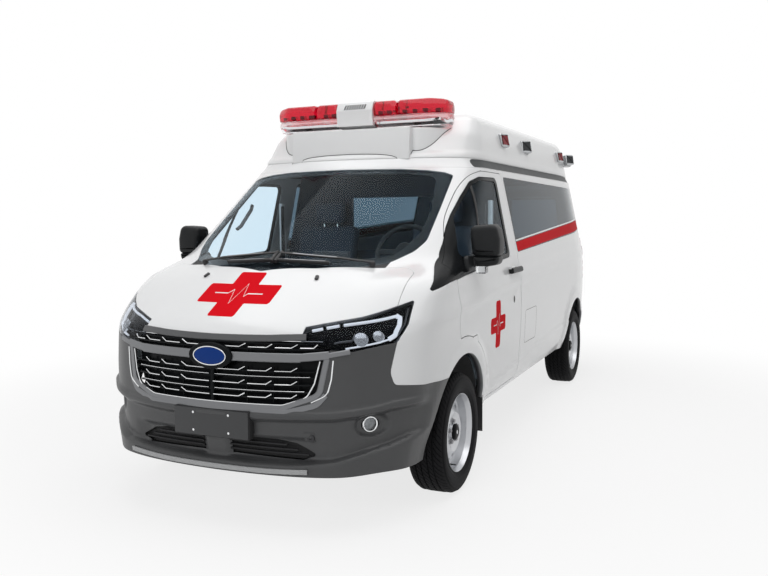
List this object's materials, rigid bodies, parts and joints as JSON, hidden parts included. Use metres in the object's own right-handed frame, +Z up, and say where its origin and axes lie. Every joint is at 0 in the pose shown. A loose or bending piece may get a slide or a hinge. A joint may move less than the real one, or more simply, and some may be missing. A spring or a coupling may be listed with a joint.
{
  "type": "van ambulance",
  "caption": "High-roof van ambulance on four road wheels, with hinged cab doors, twin rear doors, bonnet, roof light bar and steerable front wheels.",
  "frame": {"origin": "on the ground, under the middle of the bounding box, close to midway between the axles, on the centre plane", "axes": "+X to the vehicle's left, +Y to its rear, +Z up"},
  "size_m": [2.256, 5.333, 2.3239],
  "materials": {
    "white": "gloss",
    "charcoal": "satin",
    "black": "gloss",
    "glass": "tinted",
    "tyre": "matte",
    "wheel": "satin",
    "steel": "painted",
    "lamp": "gloss",
    "red_lens": "gloss",
    "trim": "grained",
    "lining": "satin",
    "seat": "woven",
    "vinyl": "grained"
  },
  "bodies": {
    "body": {"bench": "vinyl", "cab_frame": "white", "cabinet": "lining", "chassis_frame": "steel", "dashboard": "trim", "engine_block": "steel", "exhaust": "steel", "firewall": "trim", "floor_pan": "trim", "front_bumper": "charcoal", "front_wings": "white", "fuel_tank": "steel", "grille": "black", "headlamps": "lamp", "leaf_springs": "steel", "light_bar": "red_lens", "mud_flaps": "charcoal", "partition": "lining", "radiator": "trim", "rear_axle": "steel", "rear_bumper": "charcoal", "roof_band": "charcoal", "roof_cap": "white", "seats": "seat", "side_glass": "glass", "side_lamps": "red_lens", "side_panel_left": "white", "side_panel_right": "white", "sign_box": "white", "sliding_door": "white", "spare_wheel": "steel", "stretcher": "vinyl", "tail_lamps": "red_lens", "wheel_liners": "charcoal", "windscreen": "glass"},
    "door_front_left": {"front_door_left": "white", "door_glass_left": "glass", "mirror_left": "black"},
    "door_front_right": {"front_door_right": "white", "door_glass_right": "glass", "mirror_right": "black"},
    "door_rear_left": {"rear_door_left": "white", "rear_glass_left": "glass"},
    "door_rear_right": {"rear_door_right": "white", "rear_glass_right": "glass"},
    "bonnet": {"bonnet": "white"},
    "knuckle_left": {"knuckle_left": "steel"},
    "knuckle_right": {"knuckle_right": "steel"},
    "wheel_front_left": {"tyre_front_left": "tyre", "rim_front_left": "wheel"},
    "wheel_front_right": {"tyre_front_right": "tyre", "rim_front_right": "wheel"},
    "wheel_rear_left": {"tyre_rear_left": "tyre", "rim_rear_left": "wheel"},
    "wheel_rear_right": {"tyre_rear_right": "tyre", "rim_rear_right": "wheel"},
    "steering_wheel": {"steering_wheel": "trim"}
  },
  "joints": [
    {"name": "steer_left", "type": "hinge", "parent": "body", "child": "knuckle_left", "pos_m": [0.8, -1.65, 0.338], "axis": [-0.2079, 0, 0.9781], "range_deg": [-35, 35]},
    {"name": "steer_right", "type": "hinge", "parent": "body", "child": "knuckle_right", "pos_m": [-0.8, -1.65, 0.338], "axis": [0.2079, 0, 0.9781], "range_deg": [-35, 35]},
    {"name": "wheel_front_left_spin", "type": "hinge", "parent": "knuckle_left", "child": "wheel_front_left", "pos_m": [0.87, -1.65, 0.338], "axis": [1, 0, 0], "continuous": true},
    {"name": "wheel_front_right_spin", "type": "hinge", "parent": "knuckle_right", "child": "wheel_front_right", "pos_m": [-0.87, -1.65, 0.338], "axis": [1, 0, 0], "continuous": true},
    {"name": "wheel_rear_left_spin", "type": "hinge", "parent": "body", "child": "wheel_rear_left", "pos_m": [0.87, 1.65, 0.338], "axis": [1, 0, 0], "continuous": true},
    {"name": "wheel_rear_right_spin", "type": "hinge", "parent": "body", "child": "wheel_rear_right", "pos_m": [-0.87, 1.65, 0.338], "axis": [1, 0, 0], "continuous": true},
    {"name": "front_door_left_hinge", "type": "hinge", "parent": "body", "child": "door_front_left", "pos_m": [0.988, -1.754, 1], "axis": [0, 0, -1], "range_deg": [0, 68]},
    {"name": "front_door_right_hinge", "type": "hinge", "parent": "body", "child": "door_front_right", "pos_m": [-0.988, -1.754, 1], "axis": [0, 0, 1], "range_deg": [0, 68]},
    {"name": "rear_door_left_hinge", "type": "hinge", "parent": "body", "child": "door_rear_left", "pos_m": [0.762, 2.662, 1.2], "axis": [0, 0, -1], "range_deg": [0, 175]},
    {"name": "rear_door_right_hinge", "type": "hinge", "parent": "body", "child": "door_rear_right", "pos_m": [-0.762, 2.662, 1.2], "axis": [0, 0, 1], "range_deg": [0, 175]},
    {"name": "bonnet_hinge", "type": "hinge", "parent": "body", "child": "bonnet", "pos_m": [0, -1.785, 1.262], "axis": [-1, 0, 0], "range_deg": [0, 50]},
    {"name": "steering_wheel_turn", "type": "hinge", "parent": "body", "child": "steering_wheel", "pos_m": [0.44, -1.18, 1.33], "axis": [0, -0.8829, 0.4695], "range_deg": [-525, 525]}
  ],
  "couplings": [
    {"joint": "steer_right", "follows": "steer_left", "ratio": 1},
    {"joint": "steering_wheel_turn", "follows": "steer_left", "ratio": 15}
  ]
}
